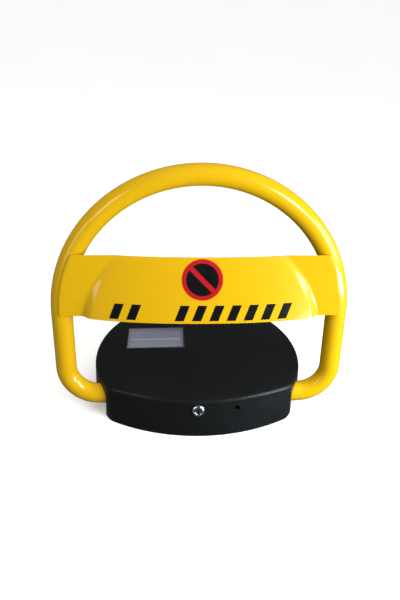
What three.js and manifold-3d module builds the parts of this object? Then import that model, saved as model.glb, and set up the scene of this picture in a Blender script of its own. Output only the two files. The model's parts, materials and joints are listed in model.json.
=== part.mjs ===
// Folding parking lock: a hoop that folds flat over a low covered base, driven by a worm gear motor.
// Millimetres, +Z up, the front faces -Y, and the origin is on the ground under the middle of the base.
import * as THREE from "three";
import { mergeVertices } from "three/addons/utils/BufferGeometryUtils.js";
import Module from "manifold-3d";

const wasm = await Module();
wasm.setup();

const { degToRad, lerp } = THREE.MathUtils;
const { PI, cos, sin, sqrt, atan2, asin } = Math;

// ---- driving dimensions ------------------------------------------------------------------------

const GAP = 0.3; // between pieces that touch

// hoop
const TUBE_RADIUS = 16;
const TUBE_BORE = 13.4;
const HOOP_RADIUS = 212; // centre line of the top half circle
const HOOP_SPRING_LINE = 146; // height above the pivot where the half circle starts
const LOWER_BEND = 50;
const TUBE_END_X = 126.3;
const PIVOT_HEIGHT = 33;
const LEAN = degToRad(7.6); // backwards from upright when raised

// crossbar panel, in the hoop's plane: x across, h up from the pivot, "out" towards the front
const PANEL_BOTTOM = 146.8;
const PANEL_TOP = 243.8;
const PANEL_THICKNESS = 2;
const WING_OUT = TUBE_RADIUS + GAP + PANEL_THICKNESS;
const DOME_CENTRE_H = 116.8;
const DOME_RADIUS = 166;
const DOME_STEP = 14; // width of the rounded edge round the dome
const DOME_EDGE_POWER = 2.2; // slow to fall at the top of the edge, steep at its foot
const DOME_OUT = 46; // at the middle of the bottom edge
const DOME_TILT = 0.19;
const DOME_BOW = 4.5e-4;
const DOME_BOW_ENDS = 7.5e-9;
const SIGN_H = 211.8;
const SIGN_RADIUS = 30;
const SIGN_THICKNESS = 0.4;

// cover and base, in plan about the pivot axis (y = 0)
const SIDE_CENTRE_Y = 73;
const SIDE_RADIUS_FOOT = 176.5;
const SIDE_RADIUS_RIM = 174.5;
const FRONT_Y_FOOT = -68;
const FRONT_Y_RIM = -57;
const FRONT_RADIUS_FOOT = 292;
const FRONT_RADIUS_RIM = 320;
const CORNER_RADIUS = 25;
const COVER_WALL = 2;
const COVER_FOOT_Z = 0.8;
const RIM_RADIUS = 7;
const CROWN_TOP = 67;
const CROWN_FALL = 10.5; // at CROWN_SPAN from the middle, with the fourth power of the distance
const CROWN_SPAN = 173;
const FRONT_FALL = 3.7; // the front half falls evenly across, and faster towards its front edge
const SLOT_RADIUS = 17.2;
const SLOT_X = [110, 190];
const PLATE_THICKNESS = 4;
const PLATE_INSET = 4;
const PLATE_NOTCH = [143, 190];
const ANCHOR_HOLE = 6.5;
const ANCHOR_X = 66;
const ANCHOR_FRONT_Y = -36;
const ANCHOR_REAR_Y = 195;
const DECK = PLATE_THICKNESS + GAP; // where pieces on the plate start
const BASE_MIDDLE_Y = (SIDE_CENTRE_Y + SIDE_RADIUS_FOOT + FRONT_Y_FOOT) / 2;

// solar window
const WINDOW_CENTRE = [-73, 107];
const WINDOW_SIZE = [101, 63];
const WINDOW_SINK = 0.8;
const SEAL_WIDTH = 1.8;
const PANE_Z = [-1.2, 0.3];
const CELL_Z = [-3, -1.5];

// lock and charging socket on the front skirt
const LOCK_X = -3.5;
const LOCK_Z = 45.5;
const SOCKET_X = 58;
const SOCKET_Z = 45;
const SOCKET_HOLE = 6.2;
const LOCK_FACE = 10;
const LOCK_BODY = 7.5;
const LOCK_HOLE = 7.9;
const BARREL_RADIUS = 5;
const KEEPER_Y = [-37, -24];
const KEEPER_X = [24, 26.5];
const KEEPER_TOP = 52.5;
const HOOK_X = 45;
const HOOK_HALF_WIDTH = 8;
const HOOK_Y = [232, 234.5];
const HOOK_TOP = 30;

// pivot shaft and bearings
const SHAFT_RADIUS = 10;
const SHAFT_END = 150;
const BUSH_RADIUS = 12.6;
const BLOCK_X = [100, 122];
const BLOCK_HOLE = 13;
const BLOCK_FOOT = 34;
const BLOCK_FOOT_HEIGHT = 9;
const BLOCK_BOLT_Y = 27;
const BLOCK_BOLT_HOLE = 4.4;
const BLOCK_TOWER = 19;
const BLOCK_MIDDLE = (BLOCK_X[0] + BLOCK_X[1]) / 2;
const CROSS_PIN_X = 138;
const CROSS_PIN_RADIUS = 3;

// gear train
const GEAR_MODULE = 1.5;
const GEAR_TEETH = 32;
const PINION_TEETH = 14;
const GEAR_FACE = [32, 42];
const PINION_DIRECTION = degToRad(17);
const GEAR_CENTRES = (GEAR_MODULE * (GEAR_TEETH + PINION_TEETH)) / 2;
const OUTPUT_Y = GEAR_CENTRES * cos(PINION_DIRECTION);
const OUTPUT_Z = PIVOT_HEIGHT + GEAR_CENTRES * sin(PINION_DIRECTION);
const WHEEL_MODULE = 1.25;
const WHEEL_TEETH = 24;
const WHEEL_FACE = [11, 17];
const WORM_RADIUS = 6;
const WORM_X = (WHEEL_FACE[0] + WHEEL_FACE[1]) / 2;
const WORM_Z = OUTPUT_Z - (WHEEL_MODULE * WHEEL_TEETH) / 2 - WORM_RADIUS;
const WORM_LEAD = PI * WHEEL_MODULE;
const WORM_CORE = 4.6;
const WORM_JOURNAL = 2.5;
const THREAD = { root: 4.75, tip: 6.9, rootHalf: 1.3, tipHalf: 0.5 };
const THREAD_HALF_LENGTH = 1.75 * WORM_LEAD;
const ARMATURE_RADIUS = 9;
const ARMATURE_Y = [66, 104];
const OUTPUT_RADIUS = 4;
const PRESSURE_ANGLE = degToRad(20);
const TOOTH_THINNING = 0.12;
const SECTOR = [degToRad(-10), degToRad(124)]; // the teeth of the drive gear that are used
const GEARBOX = { x: [4, 28], y: [12.5, 56], z: [DECK, 63], wall: 3, floor: 14.4 };
const MOTOR_RADIUS = 15;
const MOTOR_Y = [56.5, 116];

// spring that lets the hoop give when it is pushed
const SPRING_COIL = 14;
const SPRING_WIRE = 1.5;
const SPRING_X = [48, 62];
const SPRING_TURNS = 4;
const SPRING_LEG = degToRad(200);
const COLLAR_X = [66, 74];

// limit switches
const CAM_X = [-70, -46];
const SWITCH_X = [-65, -51]; // middle of each switch
const SWITCH_HALF = 3.2;
const SWITCH_Y = [21.5, 32];
const SWITCH_Z = [24, 44];
const LEVER_Y = 18.2;
const LEVER_PIN = { y: 18.5, z: 24.8, radius: 0.8 };

// battery, control box and leads
const BATTERY = { x: [40, 122], y: [60, 136], top: 26 };
const CONTROL = { x: [-122, -38], y: [62, 146], top: 30 };
const BOX_WALL = 2;
const CELL_RADIUS = 9.2;
const CELL_PITCH = 19.2;
const CELL_Y = [64, 129];
const BOARD_Z = 12;
const BOARD_THICKNESS = 1.6;
const ANTENNA = { x: -60, y: 153, top: 52 };
const BUZZER = { x: -5, y: 168, top: 18 };
const LEAD_RADIUS = 1.8;
const SOLAR_LEAD_RADIUS = 1.2;
const MOTOR_LEAD = [[14, 117.5, 22], [8, 126, 18], [-10, 130, 12], [-28, 118, 14], [-36.5, 110, 16]];
const BATTERY_LEAD = [[38.5, 128, 18], [28, 134, 12], [0, 142, 8], [-24, 138, 10], [-36.5, 132, 14]];
const SOLAR_LEAD = [[-73, 107, 60.5], [-66, 111, 54], [-60, 122, 45], [-64, 126, 38], [-68, 124, 33.8]];

// ---- geometry helpers --------------------------------------------------------------------------

function solid(geometry) {
  const bare = geometry.clone();
  bare.deleteAttribute("normal");
  bare.deleteAttribute("uv");
  const merged = mergeVertices(bare, 1e-4);
  return new wasm.Manifold(
    new wasm.Mesh({
      numProp: 3,
      vertProperties: merged.attributes.position.array,
      triVerts: new Uint32Array(merged.index.array),
    }),
  );
}

function geometryOf(made) {
  const mesh = made.getMesh();
  const geometry = new THREE.BufferGeometry();
  geometry.setAttribute("position", new THREE.BufferAttribute(mesh.vertProperties, 3));
  geometry.setIndex(new THREE.BufferAttribute(mesh.triVerts, 1));
  return geometry;
}

const join = (...parts) => geometryOf(parts.map(solid).reduce((a, b) => a.add(b)));
const cut = (body, ...tools) => geometryOf(tools.map(solid).reduce((a, b) => a.subtract(b), solid(body)));
const common = (a, b) => geometryOf(solid(a).intersect(solid(b)));

function box([x0, x1], [y0, y1], [z0, z1]) {
  const block = new THREE.BoxGeometry(x1 - x0, y1 - y0, z1 - z0);
  return block.translate((x0 + x1) / 2, (y0 + y1) / 2, (z0 + z1) / 2);
}

const rodY = (radius, [y0, y1], x = 0, z = 0, sides = 20) =>
  new THREE.CylinderGeometry(radius, radius, y1 - y0, sides).translate(x, (y0 + y1) / 2, z);

const rodX = (radius, [x0, x1], y = 0, z = 0, sides = 20) =>
  rodY(radius, [x0, x1], 0, 0, sides)
    .rotateZ(-PI / 2)
    .translate(0, y, z);

const rodZ = (radius, [z0, z1], x = 0, y = 0, sides = 20) =>
  rodY(radius, [z0, z1], 0, 0, sides)
    .rotateX(PI / 2)
    .translate(x, y, 0);

const halves = (size) => [-size / 2, size / 2];

function mirroredAbout(middle, [a, b], side) {
  return side > 0 ? [middle + a, middle + b] : [middle - b, middle - a];
}

const mirrored = (span, side) => mirroredAbout(0, span, side);

// A hole's corners lie outside its radius, so that its flats touch it.
const holeRadius = (radius, sides = 20) => radius / cos(PI / sides);

const polygon = (radius, sides) =>
  Array.from({ length: sides }, (_, i) => {
    const angle = (2 * PI * i) / sides;
    return new THREE.Vector2(radius * cos(angle), radius * sin(angle));
  });

// A flat outline given as (y, z), drawn out along x.
function prismX(shape, [x0, x1]) {
  const along = new THREE.Matrix4().makeBasis(
    new THREE.Vector3(0, 1, 0),
    new THREE.Vector3(0, 0, 1),
    new THREE.Vector3(1, 0, 0),
  );
  const made = new THREE.ExtrudeGeometry(shape, { depth: x1 - x0, bevelEnabled: false, curveSegments: 12 });
  return made.applyMatrix4(along).translate(x0, 0, 0);
}

// Closed rings of equal length, joined one to the next, with a flat fan on the first and the last.
function loft(rings) {
  const count = rings[0].length;
  const points = rings.flat();
  const index = [];
  for (let r = 0; r + 1 < rings.length; r++) {
    for (let i = 0; i < count; i++) {
      const a = r * count + i;
      const b = r * count + ((i + 1) % count);
      index.push(a, b, b + count, a, b + count, a + count);
    }
  }
  const last = (rings.length - 1) * count;
  for (let i = 1; i + 1 < count; i++) {
    index.push(0, i + 1, i);
    index.push(last, last + i, last + i + 1);
  }
  return new THREE.BufferGeometry().setFromPoints(points).setIndex(index);
}

// A sheet with a front and a back grid of points, closed round its four edges.
function sheet(front, back) {
  const rows = front.length;
  const columns = front[0].length;
  const index = [];
  const at = (side, r, c) => (side * rows + r) * columns + c;
  const quad = (a, b, c, d) => index.push(a, b, c, a, c, d);
  for (let r = 0; r + 1 < rows; r++) {
    for (let c = 0; c + 1 < columns; c++) {
      quad(at(0, r, c), at(0, r, c + 1), at(0, r + 1, c + 1), at(0, r + 1, c));
      quad(at(1, r + 1, c), at(1, r + 1, c + 1), at(1, r, c + 1), at(1, r, c));
    }
    quad(at(1, r, 0), at(0, r, 0), at(0, r + 1, 0), at(1, r + 1, 0));
    quad(at(0, r, columns - 1), at(1, r, columns - 1), at(1, r + 1, columns - 1), at(0, r + 1, columns - 1));
  }
  for (let c = 0; c + 1 < columns; c++) {
    quad(at(1, 0, c), at(1, 0, c + 1), at(0, 0, c + 1), at(0, 0, c));
    quad(at(0, rows - 1, c), at(0, rows - 1, c + 1), at(1, rows - 1, c + 1), at(1, rows - 1, c));
  }
  return new THREE.BufferGeometry().setFromPoints([...front.flat(), ...back.flat()]).setIndex(index);
}

// ---- materials ---------------------------------------------------------------------------------

const finish = (color, roughness, metalness = 0) =>
  new THREE.MeshStandardMaterial({ color, roughness, metalness });

const YELLOW_PAINT = finish(0xf0b90c, 0.25);
const BLACK_PAINT = finish(0x1c1c1e, 0.45);
const BARE_STEEL = finish(0x9a9c9e, 0.4, 1);
const ZINC = finish(0xb4b6b2, 0.35, 1);
const BRONZE = finish(0xa9783a, 0.4, 1);
const CHROME = finish(0xc8ccd0, 0.15, 1);
const GREY_PLASTIC = finish(0x4a4d50, 0.6);
const BLACK_PLASTIC = finish(0x151515, 0.5);
const RUBBER = finish(0x1a1a1a, 0.85);
const BOARD_GREEN = finish(0x1d5c34, 0.5);
const CELL_BLUE = finish(0x2b3360, 0.3);
const CELL_WRAP = finish(0x2a6fb0, 0.4);
const CLEAR = finish(0xc9cbd6, 0.1);
const SIGN_PRINT = finish(0xb3161b, 0.4);

// ---- cover plan and crown ----------------------------------------------------------------------

// Points round the plan: front arc, right corner, round side and rear, left corner.
// level is 0 at the foot of the skirt and 1 at the rim.
function planPoints(level, inset, counts = [10, 3, 28]) {
  const side = lerp(SIDE_RADIUS_FOOT, SIDE_RADIUS_RIM, level) - inset;
  const frontRadius = lerp(FRONT_RADIUS_FOOT, FRONT_RADIUS_RIM, level);
  const frontCentre = lerp(FRONT_Y_FOOT, FRONT_Y_RIM, level) + frontRadius;
  const front = frontRadius - inset;
  const corner = CORNER_RADIUS - inset;
  const toSide = side - corner;
  const toFront = front - corner;
  const spread = frontCentre - SIDE_CENTRE_Y;
  const rise = (toSide ** 2 - toFront ** 2 + spread ** 2) / (2 * spread);
  const cornerX = sqrt(toSide ** 2 - rise ** 2);
  const cornerY = SIDE_CENTRE_Y + rise;
  const frontEnd = atan2(cornerY - frontCentre, cornerX);
  const sideEnd = atan2(rise, cornerX);
  const arc = (x, y, radius, from, to, count) =>
    Array.from({ length: count }, (_, i) => {
      const angle = lerp(from, to, i / count);
      return new THREE.Vector2(x + radius * cos(angle), y + radius * sin(angle));
    });
  return [
    ...arc(0, frontCentre, front, -PI - frontEnd, frontEnd, counts[0]),
    ...arc(cornerX, cornerY, corner, frontEnd, sideEnd, counts[1]),
    ...arc(0, SIDE_CENTRE_Y, side, sideEnd, PI - sideEnd, counts[2]),
    ...arc(-cornerX, cornerY, corner, PI - sideEnd, PI - frontEnd, counts[1]),
  ];
}

function crownHeight(x, y) {
  const across = x / CROWN_SPAN;
  const along = (y - SIDE_CENTRE_Y) / CROWN_SPAN;
  const rear = (across ** 2 + along ** 2) ** 2;
  const front = across ** 4 + FRONT_FALL * along ** 6;
  return CROWN_TOP - CROWN_FALL * (along > 0 ? rear : front);
}

// Rings from the middle of the crown out over the rim and down the skirt, wall being 0 on the outside.
function coverRings(wall) {
  const edge = planPoints(1, RIM_RADIUS);
  const rimTop = edge.map((p) => crownHeight(p.x, p.y) - RIM_RADIUS);
  const crown = [0.25, 0.55, 0.82, 1].map((share) =>
    edge.map((p) => {
      const x = p.x * share;
      const y = lerp(SIDE_CENTRE_Y, p.y, share);
      return new THREE.Vector3(x, y, crownHeight(x, y) - wall);
    }),
  );
  const bend = RIM_RADIUS - wall;
  const rim = [55, 25, 0].map((degrees) => {
    const angle = degToRad(degrees);
    const ring = planPoints(1, wall + bend * (1 - cos(angle)));
    return ring.map((p, i) => new THREE.Vector3(p.x, p.y, rimTop[i] + bend * sin(angle)));
  });
  const foot = planPoints(0, wall).map((p) => new THREE.Vector3(p.x, p.y, COVER_FOOT_Z));
  return [...crown, ...rim, foot];
}

// Where the outside of the front skirt lies at a given x and z, and how it is turned there.
function skirtPlace(x, z) {
  const top = crownHeight(x, FRONT_Y_RIM + RIM_RADIUS) - RIM_RADIUS;
  const level = (z - COVER_FOOT_Z) / (top - COVER_FOOT_Z);
  const radius = lerp(FRONT_RADIUS_FOOT, FRONT_RADIUS_RIM, level);
  const y = lerp(FRONT_Y_FOOT, FRONT_Y_RIM, level) + radius - sqrt(radius ** 2 - x ** 2);
  const draft = atan2(FRONT_Y_RIM - FRONT_Y_FOOT, top - COVER_FOOT_Z);
  return { position: [x, y, z], turn: asin(x / radius), draft };
}

// Local -y points straight out of the skirt.
function skirtGroup(x, z) {
  const place = skirtPlace(x, z);
  const turned = new THREE.Group();
  turned.position.set(...place.position);
  turned.rotation.set(-place.draft, 0, place.turn, "ZYX");
  turned.updateMatrix();
  return turned;
}

function windowGroup() {
  const [x, y] = WINDOW_CENTRE;
  const slopeX = (crownHeight(x - 1, y) - crownHeight(x + 1, y)) / 2;
  const slopeY = (crownHeight(x, y - 1) - crownHeight(x, y + 1)) / 2;
  const group = new THREE.Group();
  group.position.set(x, y, crownHeight(x, y) - WINDOW_SINK);
  group.rotation.set(-slopeY, slopeX, 0);
  group.updateMatrix();
  return group;
}

function slotTool(side) {
  const span = mirrored(SLOT_X, side);
  return join(
    rodX(holeRadius(SLOT_RADIUS, 28), span, 0, PIVOT_HEIGHT, 28),
    box(span, [-SLOT_RADIUS, SLOT_RADIUS], [-5, PIVOT_HEIGHT]),
  );
}

function topCover(lockPlace, socketPlace, windowPlace) {
  const shell = loft([...coverRings(COVER_WALL), ...coverRings(0).reverse()]);
  const [length, width] = WINDOW_SIZE;
  const aperture = box(halves(length + 2 * GAP), halves(width + 2 * GAP), [-8, 8]);
  return cut(
    shell,
    slotTool(1),
    slotTool(-1),
    aperture.applyMatrix4(windowPlace.matrix),
    rodY(LOCK_HOLE, [-10, 10]).applyMatrix4(lockPlace.matrix),
    rodY(SOCKET_HOLE, [-10, 10]).applyMatrix4(socketPlace.matrix),
  );
}

function basePlate() {
  const shape = new THREE.Shape(planPoints(0, PLATE_INSET));
  const plate = new THREE.ExtrudeGeometry(shape, { depth: PLATE_THICKNESS, bevelEnabled: false });
  const through = [-1, PLATE_THICKNESS + 1];
  const holes = [];
  for (const side of [-1, 1]) {
    holes.push(box(mirrored(PLATE_NOTCH, side), halves(2 * SLOT_RADIUS), through));
    holes.push(rodZ(ANCHOR_HOLE, through, side * ANCHOR_X, ANCHOR_FRONT_Y, 16));
    holes.push(rodZ(ANCHOR_HOLE, through, side * ANCHOR_X, ANCHOR_REAR_Y, 16));
    for (const end of [-1, 1]) {
      holes.push(rodZ(BLOCK_BOLT_HOLE, through, side * BLOCK_MIDDLE, end * BLOCK_BOLT_Y, 16));
    }
  }
  return cut(plate, ...holes);
}

// ---- bearings ----------------------------------------------------------------------------------

function bearingBlock(side) {
  const tower = BLOCK_TOWER;
  const shoulder = tower - 1.5;
  const shape = new THREE.Shape();
  shape.moveTo(-BLOCK_FOOT, DECK);
  shape.lineTo(BLOCK_FOOT, DECK);
  shape.lineTo(BLOCK_FOOT, DECK + BLOCK_FOOT_HEIGHT);
  shape.lineTo(shoulder, DECK + BLOCK_FOOT_HEIGHT);
  shape.lineTo(tower, PIVOT_HEIGHT);
  shape.absarc(0, PIVOT_HEIGHT, tower, 0, PI, false);
  shape.lineTo(-shoulder, DECK + BLOCK_FOOT_HEIGHT);
  shape.lineTo(-BLOCK_FOOT, DECK + BLOCK_FOOT_HEIGHT);
  const width = mirrored(BLOCK_X, side);
  const through = [0, 40];
  return cut(
    prismX(shape, width),
    rodX(holeRadius(BLOCK_HOLE), [width[0] - 1, width[1] + 1], 0, PIVOT_HEIGHT),
    rodZ(BLOCK_BOLT_HOLE, through, side * BLOCK_MIDDLE, -BLOCK_BOLT_Y, 16),
    rodZ(BLOCK_BOLT_HOLE, through, side * BLOCK_MIDDLE, BLOCK_BOLT_Y, 16),
  );
}

function bush(side) {
  const length = mirrored([BLOCK_X[0] - 1, BLOCK_X[1]], side);
  const flange = mirrored([BLOCK_X[0] - 3, BLOCK_X[0] - GAP], side);
  return cut(
    join(rodX(BUSH_RADIUS, length, 0, PIVOT_HEIGHT), rodX(15, flange, 0, PIVOT_HEIGHT)),
    rodX(holeRadius(SHAFT_RADIUS + 0.15), [length[0] - 5, length[1] + 5], 0, PIVOT_HEIGHT),
  );
}

function blockBolt(side, end) {
  const [x, y] = [side * BLOCK_MIDDLE, end * BLOCK_BOLT_Y];
  const seat = DECK + BLOCK_FOOT_HEIGHT + GAP;
  return join(rodZ(4, [0.6, seat + 1], x, y, 12), rodZ(7, [seat, seat + 5.3], x, y, 6));
}

// ---- hoop --------------------------------------------------------------------------------------

// The hoop's centre line, in its own plane.
class HoopLine extends THREE.Curve {
  constructor() {
    super();
    const side = HOOP_RADIUS;
    this.outline = new THREE.Path();
    this.outline.moveTo(TUBE_END_X, 0);
    this.outline.lineTo(side - LOWER_BEND, 0);
    this.outline.absarc(side - LOWER_BEND, LOWER_BEND, LOWER_BEND, -PI / 2, 0, false);
    this.outline.lineTo(side, HOOP_SPRING_LINE);
    this.outline.absarc(0, HOOP_SPRING_LINE, side, 0, PI, false);
    this.outline.lineTo(-side, LOWER_BEND);
    this.outline.absarc(LOWER_BEND - side, LOWER_BEND, LOWER_BEND, PI, 1.5 * PI, false);
    this.outline.lineTo(-TUBE_END_X, 0);
  }

  getPoint(t, target = new THREE.Vector3()) {
    const p = this.outline.getPoint(t);
    return target.set(p.x, 0, p.y);
  }
}

const crossHole = (side) => rodZ(CROSS_PIN_RADIUS + GAP, [-30, 30], side * CROSS_PIN_X, 0, 12);

function hoopTube() {
  const section = new THREE.Shape(polygon(TUBE_RADIUS, 16));
  section.holes.push(new THREE.Path(polygon(TUBE_BORE, 12).reverse()));
  const along = { steps: 46, extrudePath: new HoopLine(), bevelEnabled: false };
  const tube = new THREE.ExtrudeGeometry(section, along);
  return cut(tube, crossHole(1), crossHole(-1));
}

const mainShaft = () => cut(rodX(SHAFT_RADIUS, [-SHAFT_END, SHAFT_END]), crossHole(1), crossHole(-1));

function shaftSleeve(side) {
  const length = mirrored([TUBE_END_X - 2, SHAFT_END - 1], side);
  const hole = rodX(holeRadius(SHAFT_RADIUS + GAP), [length[0] - 1, length[1] + 1]);
  return cut(rodX(TUBE_BORE - 0.9, length), hole, crossHole(side));
}

function crossPin(side) {
  const x = side * CROSS_PIN_X;
  const head = [TUBE_RADIUS + GAP, TUBE_RADIUS + 2.3];
  return join(rodZ(CROSS_PIN_RADIUS, [-TUBE_RADIUS - 1, head[0] + 0.5], x, 0, 12), rodZ(5, head, x, 0, 12));
}

// How far the front of the panel stands out from the hoop's plane.
function panelOut(x, h) {
  const dome = DOME_OUT - DOME_TILT * (h - PANEL_BOTTOM) - DOME_BOW * x ** 2 - DOME_BOW_ENDS * x ** 4;
  const beyond = (sqrt(x ** 2 + (h - DOME_CENTRE_H) ** 2) - DOME_RADIUS) / DOME_STEP;
  return lerp(dome, WING_OUT, THREE.MathUtils.clamp(beyond, 0, 1) ** DOME_EDGE_POWER);
}

// Half the panel's width at a height: its ends follow the crest of the tube.
const panelReach = (h) => sqrt(HOOP_RADIUS ** 2 - (h - HOOP_SPRING_LINE) ** 2);
const domeReach = (h, radius) => sqrt(radius ** 2 - (h - DOME_CENTRE_H) ** 2);

// Places across a row of the panel, closest together over the dome's edge.
function panelRow(h) {
  const inner = domeReach(h, DOME_RADIUS);
  const outer = domeReach(h, DOME_RADIUS + DOME_STEP);
  const reach = panelReach(h);
  const steps = (from, to, count) => Array.from({ length: count }, (_, i) => lerp(from, to, i / count));
  const right = [...steps(0, inner, 7), ...steps(inner, outer, 4), ...steps(outer, reach, 2), reach];
  const left = right.slice(1).map((x) => -x);
  return [...left.reverse(), ...right];
}

function crossbarPanel() {
  const rows = Array.from({ length: 8 }, (_, i) => lerp(PANEL_BOTTOM, PANEL_TOP, i / 7));
  const grid = (back) =>
    rows.map((h) => panelRow(h).map((x) => new THREE.Vector3(x, back - panelOut(x, h), h)));
  return sheet(grid(0), grid(PANEL_THICKNESS));
}

function signLabel() {
  const circle = polygon(1, 24);
  const ring = (radius, lift) =>
    circle.map((p) => {
      const x = -radius * p.x;
      const h = SIGN_H + radius * p.y;
      return new THREE.Vector3(x, -panelOut(x, h) - lift, h);
    });
  const radii = [6, 17, SIGN_RADIUS];
  const front = radii.map((radius) => ring(radius, GAP + SIGN_THICKNESS));
  const back = radii.map((radius) => ring(radius, GAP));
  return loft([...front, ...back.reverse()]);
}

// ---- gears -------------------------------------------------------------------------------------

// An involute gear in the (y, z) plane, with a tooth centred on the angle "toward".
function gearShape(module, teeth, toward, addendum = 1) {
  const pitch = (module * teeth) / 2;
  const base = pitch * cos(PRESSURE_ANGLE);
  const tip = pitch + addendum * module;
  const root = pitch - 1.25 * module;
  const involute = (radius) => {
    const angle = Math.acos(Math.min(1, base / radius));
    return Math.tan(angle) - angle;
  };
  const half = (PI * module - 2 * TOOTH_THINNING) / (4 * pitch);
  const flank = (radius) => half + involute(pitch) - involute(Math.max(radius, base));
  const radii = [root, Math.max(base, root + 0.2), lerp(Math.max(base, root), tip, 0.5), tip];
  const points = [];
  for (let tooth = 0; tooth < teeth; tooth++) {
    const middle = toward + (2 * PI * tooth) / teeth;
    const right = radii.map((radius) => [radius, middle - flank(radius)]);
    const left = radii.map((radius) => [radius, middle + flank(radius)]).reverse();
    for (const [radius, angle] of [...right, ...left]) {
      points.push(new THREE.Vector2(radius * cos(angle), radius * sin(angle)));
    }
  }
  return new THREE.Shape(points);
}

function sectorShape(radius, from, to, count = 12) {
  const shape = new THREE.Shape();
  shape.moveTo(0, 0);
  for (let i = 0; i <= count; i++) {
    const angle = lerp(from, to, i / count);
    shape.lineTo(radius * cos(angle), radius * sin(angle));
  }
  return shape;
}

function driveGear() {
  const rim = prismX(gearShape(GEAR_MODULE, GEAR_TEETH, PINION_DIRECTION), GEAR_FACE);
  const used = prismX(sectorShape(40, ...SECTOR), [GEAR_FACE[0] - 1, GEAR_FACE[1] + 1]);
  const hub = rodX(17, [GEAR_FACE[0] - 4, GEAR_FACE[1] + 4]);
  const [legY, legZ] = [SPRING_COIL * cos(SPRING_LEG), SPRING_COIL * sin(SPRING_LEG)];
  const leg = rodX(SPRING_WIRE + 0.4, [36, 50], legY, legZ, 10);
  const bore = rodX(holeRadius(SHAFT_RADIUS + 0.15), [20, 60]);
  return cut(join(common(rim, used), hub), bore, leg).translate(0, 0, PIVOT_HEIGHT);
}

function torsionSpring() {
  const around = (x, angle) =>
    new THREE.Vector3(x, SPRING_COIL * cos(angle), PIVOT_HEIGHT + SPRING_COIL * sin(angle));
  const points = [around(40, SPRING_LEG), around(44, SPRING_LEG)];
  const count = SPRING_TURNS * 10;
  for (let i = 0; i <= count; i++) {
    const turned = (2 * PI * SPRING_TURNS * i) / count;
    points.push(around(lerp(...SPRING_X, i / count), SPRING_LEG + turned));
  }
  points.push(around(COLLAR_X[0] + 1, SPRING_LEG), around(COLLAR_X[1] - 2, SPRING_LEG));
  const path = new THREE.CatmullRomCurve3(points, false, "centripetal");
  const section = new THREE.Shape(polygon(SPRING_WIRE, 5));
  return new THREE.ExtrudeGeometry(section, { steps: 50, extrudePath: path, bevelEnabled: false });
}

function springCollar() {
  const leg = SPRING_LEG + LEAN; // seen in the hoop's own plane
  const gap = sectorShape(30, leg - degToRad(50), leg + degToRad(8));
  const notch = prismX(gap, [COLLAR_X[0] - 1, COLLAR_X[1] + 1]);
  const hub = rodX(12.2, [COLLAR_X[0] - 2, COLLAR_X[1] + 3]);
  const bore = rodX(holeRadius(SHAFT_RADIUS + GAP), [50, 90]);
  return cut(join(cut(rodX(18, COLLAR_X), notch), hub), bore);
}

function outputPinion() {
  const toward = PINION_DIRECTION + PI + PI / PINION_TEETH;
  const face = [GEAR_FACE[0] - 0.5, GEAR_FACE[1] + 0.5];
  const teeth = prismX(gearShape(GEAR_MODULE, PINION_TEETH, toward), face);
  return join(teeth, rodX(OUTPUT_RADIUS, [7, GEAR_FACE[1] + 3], 0, 0, 16)).translate(0, OUTPUT_Y, OUTPUT_Z);
}

function wormWheel() {
  const toward = -PI / 2 + PI / WHEEL_TEETH;
  const teeth = prismX(gearShape(WHEEL_MODULE, WHEEL_TEETH, toward, 0.8), WHEEL_FACE);
  const hub = rodX(8, [WHEEL_FACE[0] - 2.5, WHEEL_FACE[1] + 4], 0, 0, 16);
  const bore = rodX(holeRadius(OUTPUT_RADIUS + GAP, 16), [0, 30], 0, 0, 16);
  return cut(join(teeth, hub), bore).translate(0, OUTPUT_Y, OUTPUT_Z);
}

// A right-handed thread about +y, with its crest at angle 0 under the wheel's middle.
function threadRadius(angle, y) {
  const turns = (y - OUTPUT_Y) / WORM_LEAD - angle / (2 * PI);
  const fromCrest = Math.abs(turns - Math.round(turns)) * WORM_LEAD;
  const { root, tip, rootHalf, tipHalf } = THREAD;
  const share = THREE.MathUtils.clamp((fromCrest - tipHalf) / (rootHalf - tipHalf), 0, 1);
  return lerp(tip, root, share);
}

function wormShaft() {
  const sides = 16;
  const ring = (y, radiusAt) =>
    Array.from({ length: sides }, (_, i) => {
      const angle = (2 * PI * i) / sides;
      const radius = radiusAt(angle, y);
      return new THREE.Vector3(radius * sin(angle), y, radius * cos(angle));
    });
  const round = (y, radius) => ring(y, () => radius);
  const perLead = 8;
  const half = Math.round((THREAD_HALF_LENGTH / WORM_LEAD) * perLead);
  const thread = Array.from({ length: 2 * half + 1 }, (_, i) =>
    ring(OUTPUT_Y + ((i - half) * WORM_LEAD) / perLead, threadRadius),
  );
  const [start, end] = [OUTPUT_Y - THREAD_HALF_LENGTH - 2, OUTPUT_Y + THREAD_HALF_LENGTH + 2];
  return loft([
    round(17, WORM_JOURNAL),
    round(start, WORM_JOURNAL),
    round(start, WORM_CORE),
    round(start + 2, WORM_CORE),
    ...thread,
    round(end - 2, WORM_CORE),
    round(end, WORM_CORE),
    round(end, WORM_JOURNAL),
    round(ARMATURE_Y[0], WORM_JOURNAL),
    round(ARMATURE_Y[0], ARMATURE_RADIUS),
    round(ARMATURE_Y[1], ARMATURE_RADIUS),
    round(ARMATURE_Y[1], WORM_JOURNAL),
    round(MOTOR_Y[1] - 3, WORM_JOURNAL),
  ]).translate(WORM_X, 0, WORM_Z);
}

// ---- gearbox and motor -------------------------------------------------------------------------

function gearboxHousing() {
  const { x, y, z, wall, floor } = GEARBOX;
  return cut(
    box(x, y, z),
    box([x[0] - 1, x[1] - wall], [y[0] + wall, y[1] - wall], [floor, z[1] - wall]),
    rodX(OUTPUT_RADIUS + 0.4, [x[1] - 5, x[1] + 1], OUTPUT_Y, OUTPUT_Z, 16),
    rodY(3, [y[1] - 5, y[1] + 1], WORM_X, WORM_Z, 16),
  );
}

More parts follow.
